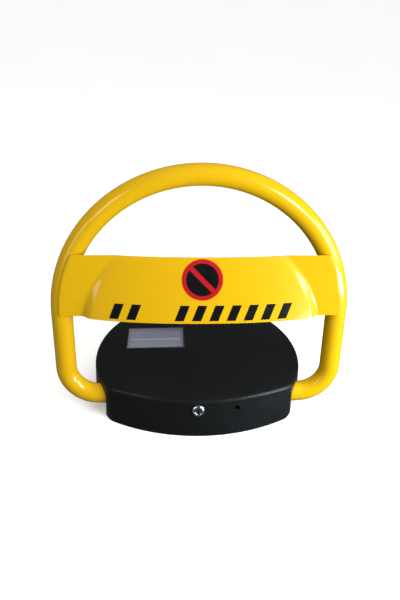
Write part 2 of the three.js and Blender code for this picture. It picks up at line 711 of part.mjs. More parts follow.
function gearboxLid() {
  const { x, y, z, wall, floor } = GEARBOX;
  const plate = box([x[0] - GAP - 2.5, x[0] - GAP], y, [floor - 3, z[1]]);
  const spigot = box(
    [x[0] - 1, x[0] + 1.5],
    [y[0] + wall + GAP, y[1] - wall - GAP],
    [floor + GAP, z[1] - wall - GAP],
  );
  const seat = rodX(OUTPUT_RADIUS + 0.4, [x[0] - 1, x[0] + 4], OUTPUT_Y, OUTPUT_Z, 16);
  return cut(join(plate, spigot), seat);
}

function motorCan() {
  const [front, rear] = MOTOR_Y;
  const inner = rodY(MOTOR_RADIUS - 1.5, [front + 2, rear - 2], WORM_X, WORM_Z);
  const neck = rodY(3, [front - 1, front + 3], WORM_X, WORM_Z, 12);
  return cut(rodY(MOTOR_RADIUS, MOTOR_Y, WORM_X, WORM_Z), join(inner, neck));
}

function motorBracket() {
  const along = [84, 96];
  const inner = MOTOR_RADIUS + 0.4;
  const outer = inner + 2;
  const arch = cut(
    rodY(outer, along, WORM_X, WORM_Z),
    rodY(holeRadius(inner), [80, 100], WORM_X, WORM_Z),
    box([WORM_X - 20, WORM_X + 20], [80, 100], [0, WORM_Z]),
  );
  const legs = [-1, 1].flatMap((side) => [
    box(mirroredAbout(WORM_X, [inner + 0.1, outer - 0.1], side), along, [DECK, WORM_Z + 1]),
    box(mirroredAbout(WORM_X, [inner + 0.1, outer + 7.5], side), along, [DECK, DECK + 2]),
  ]);
  return join(arch, ...legs);
}

// ---- battery, control box and small parts ------------------------------------------------------

function openBox({ x, y, top }) {
  const inside = ([a, b]) => [a + BOX_WALL, b - BOX_WALL];
  return cut(box(x, y, [DECK, top]), box(inside(x), inside(y), [DECK + BOX_WALL, top + 1]));
}

const boxLid = ({ x, y, top }) => box(x, y, [top + GAP, top + GAP + BOX_WALL]);

function batteryCell(number) {
  const x = BATTERY.x[0] + BOX_WALL + GAP + CELL_RADIUS + CELL_PITCH * number;
  const z = DECK + BOX_WALL + GAP + CELL_RADIUS;
  const cap = [CELL_Y[1] - 1, CELL_Y[1] + 1.5];
  return join(rodY(CELL_RADIUS, CELL_Y, x, z, 18), rodY(3, cap, x, z, 10));
}

function circuitBoard() {
  const { x, y } = CONTROL;
  const board = box([x[0] + 4, x[1] - 4], [y[0] + 4, y[1] - 4], [BOARD_Z, BOARD_Z + BOARD_THICKNESS]);
  const top = BOARD_Z + BOARD_THICKNESS - 0.4; // the components start just inside the board
  return join(
    board,
    box([-112, -96], [76, 96], [top, top + 9]),
    box([-90, -74], [76, 96], [top, top + 9]),
    box([-100, -86], [112, 126], [top, top + 2.4]),
    rodZ(5, [top, top + 12], -60, 80, 14),
    rodZ(5, [top, top + 12], -60, 96, 14),
    box([-72, -50], [126, 136], [top, top + 8]),
  );
}

function antenna() {
  const { x, y, top } = ANTENNA;
  return join(rodZ(4.5, [DECK, 10], x, y, 14), rodZ(2.6, [9, top], x, y, 12));
}

function buzzer() {
  const { x, y, top } = BUZZER;
  return cut(rodZ(12, [DECK, top], x, y, 24), rodZ(2, [top - 6, top + 2], x, y, 12));
}

function limitCam() {
  const lobe = (middle, x) => {
    const shape = sectorShape(17, middle - degToRad(20), middle + degToRad(20), 6);
    return prismX(shape, x);
  };
  const up = lobe(LEAN, [CAM_X[0], SWITCH_X[0] + 4]);
  const down = lobe(PI / 2, [SWITCH_X[1] - 4, CAM_X[1]]);
  const bore = rodX(holeRadius(SHAFT_RADIUS + GAP), [-90, -30]);
  return cut(join(rodX(13, CAM_X), up, down), bore);
}

function limitSwitch(x) {
  const width = [x - SWITCH_HALF, x + SWITCH_HALF];
  const body = box(width, SWITCH_Y, SWITCH_Z);
  const button = box([x - 1.2, x + 1.2], [SWITCH_Y[0] - 0.8, SWITCH_Y[0] + 1], [34, 37]);
  const ear = (side) => box(mirroredAbout(x, [2.7, SWITCH_HALF], side), [17.3, 22.5], [22.6, 27]);
  const pinHole = rodX(LEVER_PIN.radius + GAP, [x - 5, x + 5], LEVER_PIN.y, LEVER_PIN.z, 12);
  return cut(join(body, button, ear(-1), ear(1)), pinHole);
}

function switchLever(x) {
  const strip = box([x - 2.4, x + 2.4], [LEVER_Y, LEVER_Y + 0.6], [SWITCH_Z[0], SWITCH_Z[1] + 1]);
  return join(strip, rodX(LEVER_PIN.radius, [x - 3.1, x + 3.1], LEVER_PIN.y, LEVER_PIN.z, 12));
}

function switchBracket() {
  const x = [SWITCH_X[0] - 6, SWITCH_X[1] + 6];
  const back = SWITCH_Y[1] + GAP;
  return join(box(x, [back, back + 2], [DECK, 46]), box(x, [back, back + 14], [DECK, DECK + 2]));
}

function lead(radius, points) {
  const path = new THREE.CatmullRomCurve3(points.map((p) => new THREE.Vector3(...p)));
  const section = new THREE.Shape(polygon(radius, 6));
  return new THREE.ExtrudeGeometry(section, { steps: 12, extrudePath: path, bevelEnabled: false });
}

// ---- solar window, lock and socket -------------------------------------------------------------

function windowSeal() {
  const [length, width] = WINDOW_SIZE;
  const frame = box(halves(length), halves(width), [-3.5, 0.6]);
  const inner = 2 * SEAL_WIDTH;
  return cut(frame, box(halves(length - inner), halves(width - inner), [-5, 5]));
}

function windowLayer([z0, z1]) {
  const inner = 2 * (SEAL_WIDTH + GAP);
  return box(halves(WINDOW_SIZE[0] - inner), halves(WINDOW_SIZE[1] - inner), [z0, z1]);
}

function lockHousing() {
  const profile = [
    [BARREL_RADIUS + 0.25, -3.2],
    [BARREL_RADIUS + 1.4, -3.4],
    [LOCK_FACE - 1.6, -2.6],
    [LOCK_FACE, -0.9],
    [LOCK_FACE, -GAP],
    [LOCK_BODY, -GAP],
    [LOCK_BODY, 24],
    [BARREL_RADIUS + 0.25, 24],
    [BARREL_RADIUS + 0.25, -3.2],
  ];
  return new THREE.LatheGeometry(profile.map(([r, y]) => new THREE.Vector2(r, y)), 20);
}

function lockBarrel() {
  const body = join(rodY(BARREL_RADIUS, [-2.9, 26]), rodY(3, [25, 33], 0, 0, 16));
  return cut(body, box([-0.9, 0.9], [-4, 1.5], [-3.2, 3.2]));
}

function lockCam() {
  const strip = box([-6, 23], [28, 30.5], [-6, 6]);
  return cut(strip, rodY(holeRadius(3.3, 16), [20, 40], 0, 0, 16));
}

const lockNut = () => cut(rodY(11, [COVER_WALL + 0.8, 7], 0, 0, 6), rodY(LOCK_BODY + 0.3, [0, 10]));

function lockKeeper() {
  const [inner, outer] = KEEPER_X;
  const metal = outer - inner;
  return join(
    box(KEEPER_X, KEEPER_Y, [DECK, KEEPER_TOP]),
    box([outer - 17.5, outer], KEEPER_Y, [KEEPER_TOP - metal, KEEPER_TOP]),
    box([outer - 16.5, outer], KEEPER_Y, [DECK, DECK + metal]),
  );
}

const chargingSocket = () => cut(rodY(5.8, [0.5, 20], 0, 0, 20), rodY(4.5, [-1, 14], 0, 0, 16));

function rearHook(side) {
  const x = [side * HOOK_X - HOOK_HALF_WIDTH, side * HOOK_X + HOOK_HALF_WIDTH];
  const [inner, outer] = HOOK_Y;
  const metal = outer - inner;
  return join(
    box(x, HOOK_Y, [DECK, HOOK_TOP]),
    box(x, [outer - 16.5, outer], [DECK, DECK + metal]),
    box(x, [inner, outer + 3], [HOOK_TOP - metal, HOOK_TOP]),
  );
}

// ---- assembly ----------------------------------------------------------------------------------

const lock = new THREE.Group();
lock.name = "folding_parking_lock";
const base = new THREE.Group();
base.position.y = -BASE_MIDDLE_Y;
const hoop = new THREE.Group();
hoop.position.z = PIVOT_HEIGHT;
hoop.rotation.x = -LEAN;
const lockPlace = skirtGroup(LOCK_X, LOCK_Z);
const socketPlace = skirtGroup(SOCKET_X, SOCKET_Z);
const windowPlace = windowGroup();
lock.add(base);
base.add(hoop, lockPlace, socketPlace, windowPlace);

function piece(group, name, geometry, material) {
  const mesh = new THREE.Mesh(geometry, material);
  mesh.name = name;
  group.add(mesh);
}

piece(base, "base_plate", basePlate(), BLACK_PAINT);
piece(base, "top_cover", topCover(lockPlace, socketPlace, windowPlace), BLACK_PAINT);
for (const [side, word] of [[-1, "left"], [1, "right"]]) {
  piece(base, `bearing_block_${word}`, bearingBlock(side), BARE_STEEL);
  piece(base, `bush_${word}`, bush(side), BRONZE);
  piece(base, `block_bolt_${word}_front`, blockBolt(side, -1), ZINC);
  piece(base, `block_bolt_${word}_rear`, blockBolt(side, 1), ZINC);
  piece(base, `rear_hook_${word}`, rearHook(side), ZINC);
  piece(hoop, `shaft_sleeve_${word}`, shaftSleeve(side), BARE_STEEL);
  piece(hoop, `cross_pin_${word}`, crossPin(side), ZINC);
}

piece(hoop, "hoop_tube", hoopTube(), YELLOW_PAINT);
piece(hoop, "crossbar_panel", crossbarPanel(), YELLOW_PAINT);
piece(hoop, "sign_label", signLabel(), SIGN_PRINT);
piece(hoop, "main_shaft", mainShaft(), BARE_STEEL);
piece(hoop, "spring_collar", springCollar(), BARE_STEEL);
piece(hoop, "limit_cam", limitCam(), BLACK_PLASTIC);

piece(base, "drive_gear", driveGear(), BARE_STEEL);
piece(base, "torsion_spring", torsionSpring(), ZINC);
piece(base, "output_pinion", outputPinion(), BARE_STEEL);
piece(base, "worm_wheel", wormWheel(), BRONZE);
piece(base, "worm_shaft", wormShaft(), BARE_STEEL);
piece(base, "gearbox_housing", gearboxHousing(), GREY_PLASTIC);
piece(base, "gearbox_lid", gearboxLid(), GREY_PLASTIC);
piece(base, "motor_can", motorCan(), ZINC);
piece(base, "motor_bracket", motorBracket(), ZINC);

piece(base, "battery_case", openBox(BATTERY), BLACK_PLASTIC);
piece(base, "battery_lid", boxLid(BATTERY), BLACK_PLASTIC);
for (let number = 0; number < 4; number++) {
  piece(base, `battery_cell_${number + 1}`, batteryCell(number), CELL_WRAP);
}
piece(base, "control_case", openBox(CONTROL), GREY_PLASTIC);
piece(base, "control_lid", boxLid(CONTROL), GREY_PLASTIC);
piece(base, "circuit_board", circuitBoard(), BOARD_GREEN);
piece(base, "antenna", antenna(), RUBBER);
piece(base, "buzzer", buzzer(), BLACK_PLASTIC);
piece(base, "switch_bracket", switchBracket(), ZINC);
for (const [x, word] of [[SWITCH_X[0], "up"], [SWITCH_X[1], "down"]]) {
  piece(base, `limit_switch_${word}`, limitSwitch(x), BLACK_PLASTIC);
  piece(base, `switch_lever_${word}`, switchLever(x), ZINC);
}

piece(windowPlace, "window_seal", windowSeal(), RUBBER);
piece(windowPlace, "solar_window", windowLayer(PANE_Z), CLEAR);
piece(windowPlace, "solar_cell", windowLayer(CELL_Z), CELL_BLUE);
piece(lockPlace, "lock_housing", lockHousing(), CHROME);
piece(lockPlace, "lock_nut", lockNut(), ZINC);
piece(lockPlace, "lock_barrel", lockBarrel(), CHROME);
piece(lockPlace, "lock_cam", lockCam(), ZINC);
piece(base, "lock_keeper", lockKeeper(), ZINC);
piece(socketPlace, "charging_socket", chargingSocket(), BLACK_PLASTIC);

piece(base, "motor_lead", lead(LEAD_RADIUS, MOTOR_LEAD), RUBBER);
piece(base, "battery_lead", lead(LEAD_RADIUS, BATTERY_LEAD), RUBBER);
piece(base, "solar_lead", lead(SOLAR_LEAD_RADIUS, SOLAR_LEAD), RUBBER);

export default lock;
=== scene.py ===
"""Looks for the folding parking lock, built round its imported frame. Metres, +Z up, front faces -Y."""
import json
import math

import bmesh
import bpy
from mathutils import Matrix, Vector


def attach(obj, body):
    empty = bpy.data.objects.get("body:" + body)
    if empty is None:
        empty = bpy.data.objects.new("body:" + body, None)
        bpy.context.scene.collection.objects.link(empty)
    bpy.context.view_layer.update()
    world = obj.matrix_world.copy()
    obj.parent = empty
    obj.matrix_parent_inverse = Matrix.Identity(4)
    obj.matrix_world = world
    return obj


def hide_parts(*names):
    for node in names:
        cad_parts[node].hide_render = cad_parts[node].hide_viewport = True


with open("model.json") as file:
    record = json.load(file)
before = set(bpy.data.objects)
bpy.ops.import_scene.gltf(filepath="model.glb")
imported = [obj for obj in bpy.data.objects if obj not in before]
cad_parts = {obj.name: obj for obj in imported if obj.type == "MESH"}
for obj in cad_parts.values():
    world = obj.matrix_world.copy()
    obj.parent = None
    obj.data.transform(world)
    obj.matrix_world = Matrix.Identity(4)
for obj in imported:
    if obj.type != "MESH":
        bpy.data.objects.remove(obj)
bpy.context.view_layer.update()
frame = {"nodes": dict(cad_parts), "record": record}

MM = 0.001
JOINTS = {joint["name"]: joint for joint in frame["record"]["behaviour"]["joints"]}
PIVOT = Vector(JOINTS["fold"]["pos_m"])


# ---- camera ------------------------------------------------------------------------------------

CAMERA_AZIMUTH = math.radians(-3.54)
CAMERA_ELEVATION = math.radians(30.36)
CAMERA_ROLL = 0.030
CAMERA_DISTANCE = 0.83
CAMERA_TARGET = PIVOT + Vector((0, 0, 0.2))
CAMERA_LENS = 33.94
CAMERA_SHIFT = (-0.0035, -0.0222)


def make_camera():
    """A camera a little left of the front, looking down and turned slightly about its own axis."""
    azimuth, elevation = CAMERA_AZIMUTH, CAMERA_ELEVATION
    back = Vector(
        (
            math.sin(azimuth) * math.cos(elevation),
            -math.cos(azimuth) * math.cos(elevation),
            math.sin(elevation),
        )
    )
    right = Vector((math.cos(azimuth), math.sin(azimuth), 0))
    up = back.cross(right)
    turn = CAMERA_ROLL
    rolled_right = math.cos(turn) * right + math.sin(turn) * up
    rolled_up = math.cos(turn) * up - math.sin(turn) * right
    data = bpy.data.cameras.new("camera")
    data.sensor_width = 36
    data.lens = CAMERA_LENS
    data.shift_x, data.shift_y = CAMERA_SHIFT
    data.clip_start = 0.01
    camera = bpy.data.objects.new("camera", data)
    pose = Matrix((rolled_right, rolled_up, back)).transposed().to_4x4()
    pose.translation = CAMERA_TARGET + CAMERA_DISTANCE * back
    camera.matrix_world = pose
    bpy.context.collection.objects.link(camera)
    bpy.context.scene.camera = camera


make_camera()


# ---- dimensions that the finer shapes share with the frame --------------------------------------

TUBE_RADIUS = 16 * MM
TUBE_BORE = 13.3 * MM
HOOP_RADIUS = 212 * MM
SPRING_LINE = 146 * MM
LOWER_BEND = 50 * MM
TUBE_END_X = 126.3 * MM
LEAN = math.radians(7.6)

PANEL_BOTTOM = 146.8 * MM
PANEL_TOP = 243.8 * MM
PANEL_THICKNESS = 2 * MM
PANEL_EDGE = 0.7 * MM
WING_OUT = 18.3 * MM
DOME_CENTRE_H = 116.8 * MM
DOME_RADIUS = 166 * MM
DOME_STEP = 14 * MM
DOME_EDGE_POWER = 2.2
DOME_OUT = 46 * MM
DOME_TILT = 0.19
DOME_BOW = 0.45  # per metre
DOME_BOW_ENDS = 7.5  # per metre cubed
SIGN_H = 211.8 * MM
SIGN_RADIUS = 30 * MM

# The cover's outline is in plain millimetres, with y from the pivot axis. Pairs are (foot, rim).
SIDE_CENTRE_Y = 73
SIDE_RADIUS = (176.5, 174.5)
FRONT_Y = (-68, -57)
FRONT_RADIUS = (292, 320)
CORNER_RADIUS = 25
COVER_WALL = 2
COVER_FOOT_Z = 0.8
RIM_RADIUS = 7
CROWN_TOP = 67
CROWN_FALL = 10.5
CROWN_SPAN = 173
FRONT_FALL = 3.7
SLOT_RADIUS = 17.2 * MM
SLOT_SPAN = (110 * MM, 190 * MM)
SLOT_DROP = 50 * MM
LOCK_SPOT = (-3.5, 45.5)  # x and z on the front skirt, in millimetres
LOCK_HOLE = 7.9 * MM
SOCKET_SPOT = (58, 45)  # the same
SOCKET_HOLE = 6.2 * MM
HOLE_REACH = 10 * MM
WINDOW_CENTRE = (-73, 107)  # x and y on the crown, in millimetres
WINDOW_SIZE = (101, 63)
WINDOW_SINK = 0.8
WINDOW_GAP = 0.3 * MM
WINDOW_REACH = 8 * MM


def lerp(a, b, t):
    return a + (b - a) * t


# ---- mesh helpers --------------------------------------------------------------------------------


def mesh_object(name, bm):
    mesh = bpy.data.meshes.new(name)
    bm.to_mesh(mesh)
    bm.free()
    obj = bpy.data.objects.new(name, mesh)
    bpy.context.collection.objects.link(obj)
    return obj


def piece(name, bm, body, material, replaced=(), sharp=35, place=Matrix()):
    """A finished mesh object, built in the frame of place, that rides on a body and takes one material."""
    bm.normal_update()
    obj = mesh_object(name, bm)
    obj.matrix_world = place
    for polygon in obj.data.polygons:
        polygon.use_smooth = True
    obj.data.set_sharp_from_angle(angle=math.radians(sharp))
    obj.data.materials.append(material)
    bpy.context.view_layer.update()
    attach(obj, body)
    if replaced:
        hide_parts(*replaced)
    return obj


def round_edges(obj, width, segments, angle):
    bevel = obj.modifiers.new("edge", "BEVEL")
    bevel.width = width
    bevel.segments = segments
    bevel.limit_method = "ANGLE"
    bevel.angle_limit = math.radians(angle)
    return bevel


def apply_modifiers(obj):
    graph = bpy.context.evaluated_depsgraph_get()
    mesh = bpy.data.meshes.new_from_object(obj.evaluated_get(graph))
    obj.modifiers.clear()
    obj.data = mesh


def loft(rings, cap=True):
    """Joins closed rings of equal length, one to the next, and caps each end with one face."""
    bm = bmesh.new()
    made = [[bm.verts.new(p) for p in ring] for ring in rings]
    count = len(rings[0])
    for low, high in zip(made, made[1:]):
        for i in range(count):
            j = (i + 1) % count
            bm.faces.new((low[i], low[j], high[j], high[i]))
    if cap:
        bm.faces.new(list(reversed(made[0])))
        bm.faces.new(made[-1])
    bmesh.ops.recalc_face_normals(bm, faces=bm.faces)
    return bm


def sheet(front, back):
    """A sheet between a front and a back grid of points, closed round its edges."""
    bm = bmesh.new()
    sides = [[[bm.verts.new(p) for p in row] for row in grid] for grid in (front, back)]
    rows, columns = len(front), len(front[0])
    for r in range(rows - 1):
        for c in range(columns - 1):
            for side in sides:
                bm.faces.new((side[r][c], side[r][c + 1], side[r + 1][c + 1], side[r + 1][c]))
    edge = [(0, c) for c in range(columns)]
    edge += [(r, columns - 1) for r in range(1, rows)]
    edge += [(rows - 1, c) for c in range(columns - 2, -1, -1)]
    edge += [(r, 0) for r in range(rows - 2, 0, -1)]
    for (r0, c0), (r1, c1) in zip(edge, edge[1:] + edge[:1]):
        front_side, back_side = sides
        bm.faces.new((front_side[r0][c0], front_side[r1][c1], back_side[r1][c1], back_side[r0][c0]))
    bmesh.ops.recalc_face_normals(bm, faces=bm.faces)
    return bm


HOOP = Matrix.Translation(PIVOT) @ Matrix.Rotation(-LEAN, 4, "X")


def in_hoop(x, out, h):
    """A point of the hoop's plane: x across, out towards the front, h up from the pivot."""
    return HOOP @ Vector((x, -out, h))


# ---- hoop tube -------------------------------------------------------------------------------------

BEND_STEPS = 16
ARCH_STEPS = 96
TUBE_SIDES = 48


def hoop_stations():
    """Centre points and directions along the hoop, from the right end round to the left end."""
    stations = [(TUBE_END_X, 0.0, 0.0)]
    bend_x = HOOP_RADIUS - LOWER_BEND
    for i in range(BEND_STEPS + 1):
        angle = math.radians(lerp(-90, 0, i / BEND_STEPS))
        x = bend_x + LOWER_BEND * math.cos(angle)
        stations.append((x, LOWER_BEND * (1 + math.sin(angle)), angle + math.pi / 2))
    lower_right = list(stations)
    for i in range(ARCH_STEPS + 1):
        angle = math.pi * i / ARCH_STEPS
        x = HOOP_RADIUS * math.cos(angle)
        stations.append((x, SPRING_LINE + HOOP_RADIUS * math.sin(angle), angle + math.pi / 2))
    mirrored = [(-x, h, math.pi * 2 - a) for x, h, a in lower_right]
    return stations + mirrored[::-1]


def ring_about(x, h, heading, radius):
    """A ring round the tube's centre line, square to the line's heading."""
    outward = Vector((math.sin(heading), -math.cos(heading)))
    ring = []
    for i in range(TUBE_SIDES):
        angle = 2 * math.pi * i / TUBE_SIDES
        along = radius * math.cos(angle)
        ring.append(in_hoop(x + outward.x * along, radius * math.sin(angle), h + outward.y * along))
    return ring


def hoop_tube(material):
    stations = hoop_stations()
    outer = [ring_about(*s, TUBE_RADIUS) for s in stations]
    inner = [ring_about(*s, TUBE_BORE) for s in stations]
    rings = outer + inner[::-1] + outer[:1]
    bm = loft(rings, cap=False)
    bmesh.ops.remove_doubles(bm, verts=bm.verts, dist=1e-6)
    bmesh.ops.recalc_face_normals(bm, faces=bm.faces)
    piece("hoop_tube_paint", bm, "hoop", material, ["hoop_tube"])


# ---- crossbar panel --------------------------------------------------------------------------------


def panel_out(x, h):
    """How far the panel's front stands out from the hoop's plane, all in metres."""
    dome = DOME_OUT - DOME_TILT * (h - PANEL_BOTTOM) - DOME_BOW * x**2 - DOME_BOW_ENDS * x**4
    beyond = (math.hypot(x, h - DOME_CENTRE_H) - DOME_RADIUS) / DOME_STEP
    return lerp(dome, WING_OUT, min(1, max(0, beyond)) ** DOME_EDGE_POWER)


def panel_columns(h):
    """Places across the panel at a height, closest together over the step round the dome."""
    reach = math.sqrt(HOOP_RADIUS**2 - (h - SPRING_LINE) ** 2)
    inner = math.sqrt(DOME_RADIUS**2 - (h - DOME_CENTRE_H) ** 2)
    outer = math.sqrt((DOME_RADIUS + DOME_STEP) ** 2 - (h - DOME_CENTRE_H) ** 2)
    right = [lerp(0, inner, i / 40) for i in range(40)]
    right += [lerp(inner, outer, i / 20) for i in range(20)]
    right += [lerp(outer, reach, i / 10) for i in range(11)]
    return [-x for x in right[:0:-1]] + right


def crossbar_panel(material):
    rows = [lerp(PANEL_BOTTOM, PANEL_TOP, i / 40) for i in range(41)]
    front = [[in_hoop(x, panel_out(x, h), h) for x in panel_columns(h)] for h in rows]
    back = [[in_hoop(x, panel_out(x, h) - PANEL_THICKNESS, h) for x in panel_columns(h)] for h in rows]
    bm = sheet(front, back)
    obj = piece("crossbar_panel_paint", bm, "hoop", material, ["crossbar_panel"], 50)
    round_edges(obj, PANEL_EDGE, 3, 60)
    apply_modifiers(obj)


# ---- cover -----------------------------------------------------------------------------------------

FRONT_STEPS = 56
CORNER_STEPS = 12
SIDE_STEPS = 150
CROWN_SHARES = (0.03, 0.1, 0.2, 0.3, 0.4, 0.5, 0.6, 0.7, 0.8, 0.88, 0.95, 0.99)
RIM_STEPS = 8
SKIRT_STEPS = 8


def plan_points(level, inset):
    """Points round the cover: front arc, right corner, round side and rear, left corner."""
    side = lerp(*SIDE_RADIUS, level) - inset
    front_radius = lerp(*FRONT_RADIUS, level)
    front_centre = lerp(*FRONT_Y, level) + front_radius
    corner = CORNER_RADIUS - inset
    to_side = side - corner
    to_front = front_radius - inset - corner
    spread = front_centre - SIDE_CENTRE_Y
    rise = (to_side**2 - to_front**2 + spread**2) / (2 * spread)
    corner_x = math.sqrt(to_side**2 - rise**2)
    corner_y = SIDE_CENTRE_Y + rise
    front_end = math.atan2(corner_y - front_centre, corner_x)
    side_end = math.atan2(rise, corner_x)

    def arc(x, y, radius, start, end, count):
        angles = [lerp(start, end, i / count) for i in range(count)]
        return [(x + radius * math.cos(a), y + radius * math.sin(a)) for a in angles]

    return (
        arc(0, front_centre, front_radius - inset, -math.pi - front_end, front_end, FRONT_STEPS)
        + arc(corner_x, corner_y, corner, front_end, side_end, CORNER_STEPS)
        + arc(0, SIDE_CENTRE_Y, side, side_end, math.pi - side_end, SIDE_STEPS)
        + arc(-corner_x, corner_y, corner, math.pi - side_end, math.pi - front_end, CORNER_STEPS)
    )


def crown_height(x, y):
    """Height of the cover's top. Towards the front it stays up longer, and then falls faster."""
    across, along = x / CROWN_SPAN, (y - SIDE_CENTRE_Y) / CROWN_SPAN
    rear = (across**2 + along**2) ** 2
    front = across**4 + FRONT_FALL * along**6
    return CROWN_TOP - CROWN_FALL * (rear if along > 0 else front)


def on_base(x, y, z):
    """Millimetres about the pivot axis in plan, and above the ground, to the row frame."""
    return Vector((x * MM, PIVOT.y + y * MM, z * MM))


def cover_rings(wall):
    """Rings from the middle of the crown out, over the rim and down the skirt, a wall's depth inside."""
    edge = plan_points(1, RIM_RADIUS)
    rim_top = [crown_height(x, y) - RIM_RADIUS for x, y in edge]
    rings = []
    for share in CROWN_SHARES:
        ring = []
        for x, y in edge:
            px, py = x * share, lerp(SIDE_CENTRE_Y, y, share)
            ring.append(on_base(px, py, crown_height(px, py) - wall))
        rings.append(ring)
    bend = RIM_RADIUS - wall
    for step in range(RIM_STEPS + 1):
        angle = math.radians(lerp(80, 0, step / RIM_STEPS))
        ring = plan_points(1, wall + bend * (1 - math.cos(angle)))
        lift = bend * math.sin(angle)
        rings.append([on_base(x, y, top + lift) for (x, y), top in zip(ring, rim_top)])
    skirt_top = plan_points(1, wall)
    foot = plan_points(0, wall)
    for step in range(1, SKIRT_STEPS + 1):
        share = step / SKIRT_STEPS
        rings.append(
            [
                on_base(lerp(a[0], b[0], share), lerp(a[1], b[1], share), lerp(top, COVER_FOOT_Z, share))
                for a, b, top in zip(skirt_top, foot, rim_top)
            ]
        )
    return rings


ALONG_X = Matrix.Rotation(math.pi / 2, 4, "Y")
ALONG_Y = Matrix.Rotation(-math.pi / 2, 4, "X")


def cylinder(radius, low, high, along, place):
    """A closed cylinder along a local axis, between two distances, put in place by a matrix."""
    bm = bmesh.new()
    bmesh.ops.create_cone(
        bm, cap_ends=True, segments=64, radius1=radius, radius2=radius, depth=high - low,
        matrix=place @ along @ Matrix.Translation((0, 0, (low + high) / 2)),
    )
    return bm


def block(low, high, place=Matrix()):
    size = [b - a for a, b in zip(low, high)]
    middle = [(a + b) / 2 for a, b in zip(low, high)]
    bm = bmesh.new()
    bmesh.ops.create_cube(bm, matrix=place @ Matrix.Translation(middle) @ Matrix.Diagonal((*size, 1)))
    return bm


def subtract(obj, *solids):
    for solid in solids:
        tool = mesh_object("cutter", solid)
        modifier = obj.modifiers.new("cut", "BOOLEAN")
        modifier.operation = "DIFFERENCE"
        modifier.solver = "EXACT"
        modifier.object = tool
        apply_modifiers(obj)
        bpy.data.objects.remove(tool)


def top_cover(material, lock_place, socket_place, window_place):
    """The cover's shell, cut out for the tube's ends, the window, the lock and the socket."""
    bm = loft(cover_rings(0) + cover_rings(COVER_WALL)[::-1])
    obj = piece("top_cover_paint", bm, "base", material, ["top_cover"], 40)
    axis = Matrix.Translation(PIVOT)
    for side in (-1, 1):
        low, high = sorted(side * x for x in SLOT_SPAN)
        subtract(
            obj,
            cylinder(SLOT_RADIUS, low, high, ALONG_X, axis),
            block((low, -SLOT_RADIUS, -SLOT_DROP), (high, SLOT_RADIUS, 0), axis),
        )
    length, width = (size * MM / 2 + WINDOW_GAP for size in WINDOW_SIZE)
    subtract(
        obj,
        block((-length, -width, -WINDOW_REACH), (length, width, WINDOW_REACH), window_place),
        cylinder(LOCK_HOLE, -HOLE_REACH, HOLE_REACH, ALONG_Y, lock_place),
        cylinder(SOCKET_HOLE, -HOLE_REACH, HOLE_REACH, ALONG_Y, socket_place),
    )
    obj.data.set_sharp_from_angle(angle=math.radians(30))


# ---- places of the window, lock and socket ----------------------------------------------------------


def skirt_place(x, z):
    """Local -y points straight out of the front skirt at that x and z, in millimetres."""
    top = crown_height(x, FRONT_Y[1] + RIM_RADIUS) - RIM_RADIUS
    level = (z - COVER_FOOT_Z) / (top - COVER_FOOT_Z)
    radius = lerp(*FRONT_RADIUS, level)
    y = lerp(*FRONT_Y, level) + radius - math.sqrt(radius**2 - x**2)
    draft = math.atan2(FRONT_Y[1] - FRONT_Y[0], top - COVER_FOOT_Z)
    turn = Matrix.Rotation(math.asin(x / radius), 4, "Z") @ Matrix.Rotation(-draft, 4, "X")
    return Matrix.Translation(on_base(x, y, z)) @ turn


LOCK_PLACE = skirt_place(*LOCK_SPOT)
SOCKET_PLACE = skirt_place(*SOCKET_SPOT)


def window_place():
    """Local z points straight out of the crown at the middle of the window."""
    x, y = WINDOW_CENTRE
    slope_x = (crown_height(x - 1, y) - crown_height(x + 1, y)) / 2
    slope_y = (crown_height(x, y - 1) - crown_height(x, y + 1)) / 2
    turn = Matrix.Rotation(slope_x, 4, "Y")
    tilt = Matrix.Rotation(-slope_y, 4, "X")
    return Matrix.Translation(on_base(x, y, crown_height(x, y) - WINDOW_SINK)) @ tilt @ turn


WINDOW_PLACE = window_place()


# ---- materials ---------------------------------------------------------------------------------------


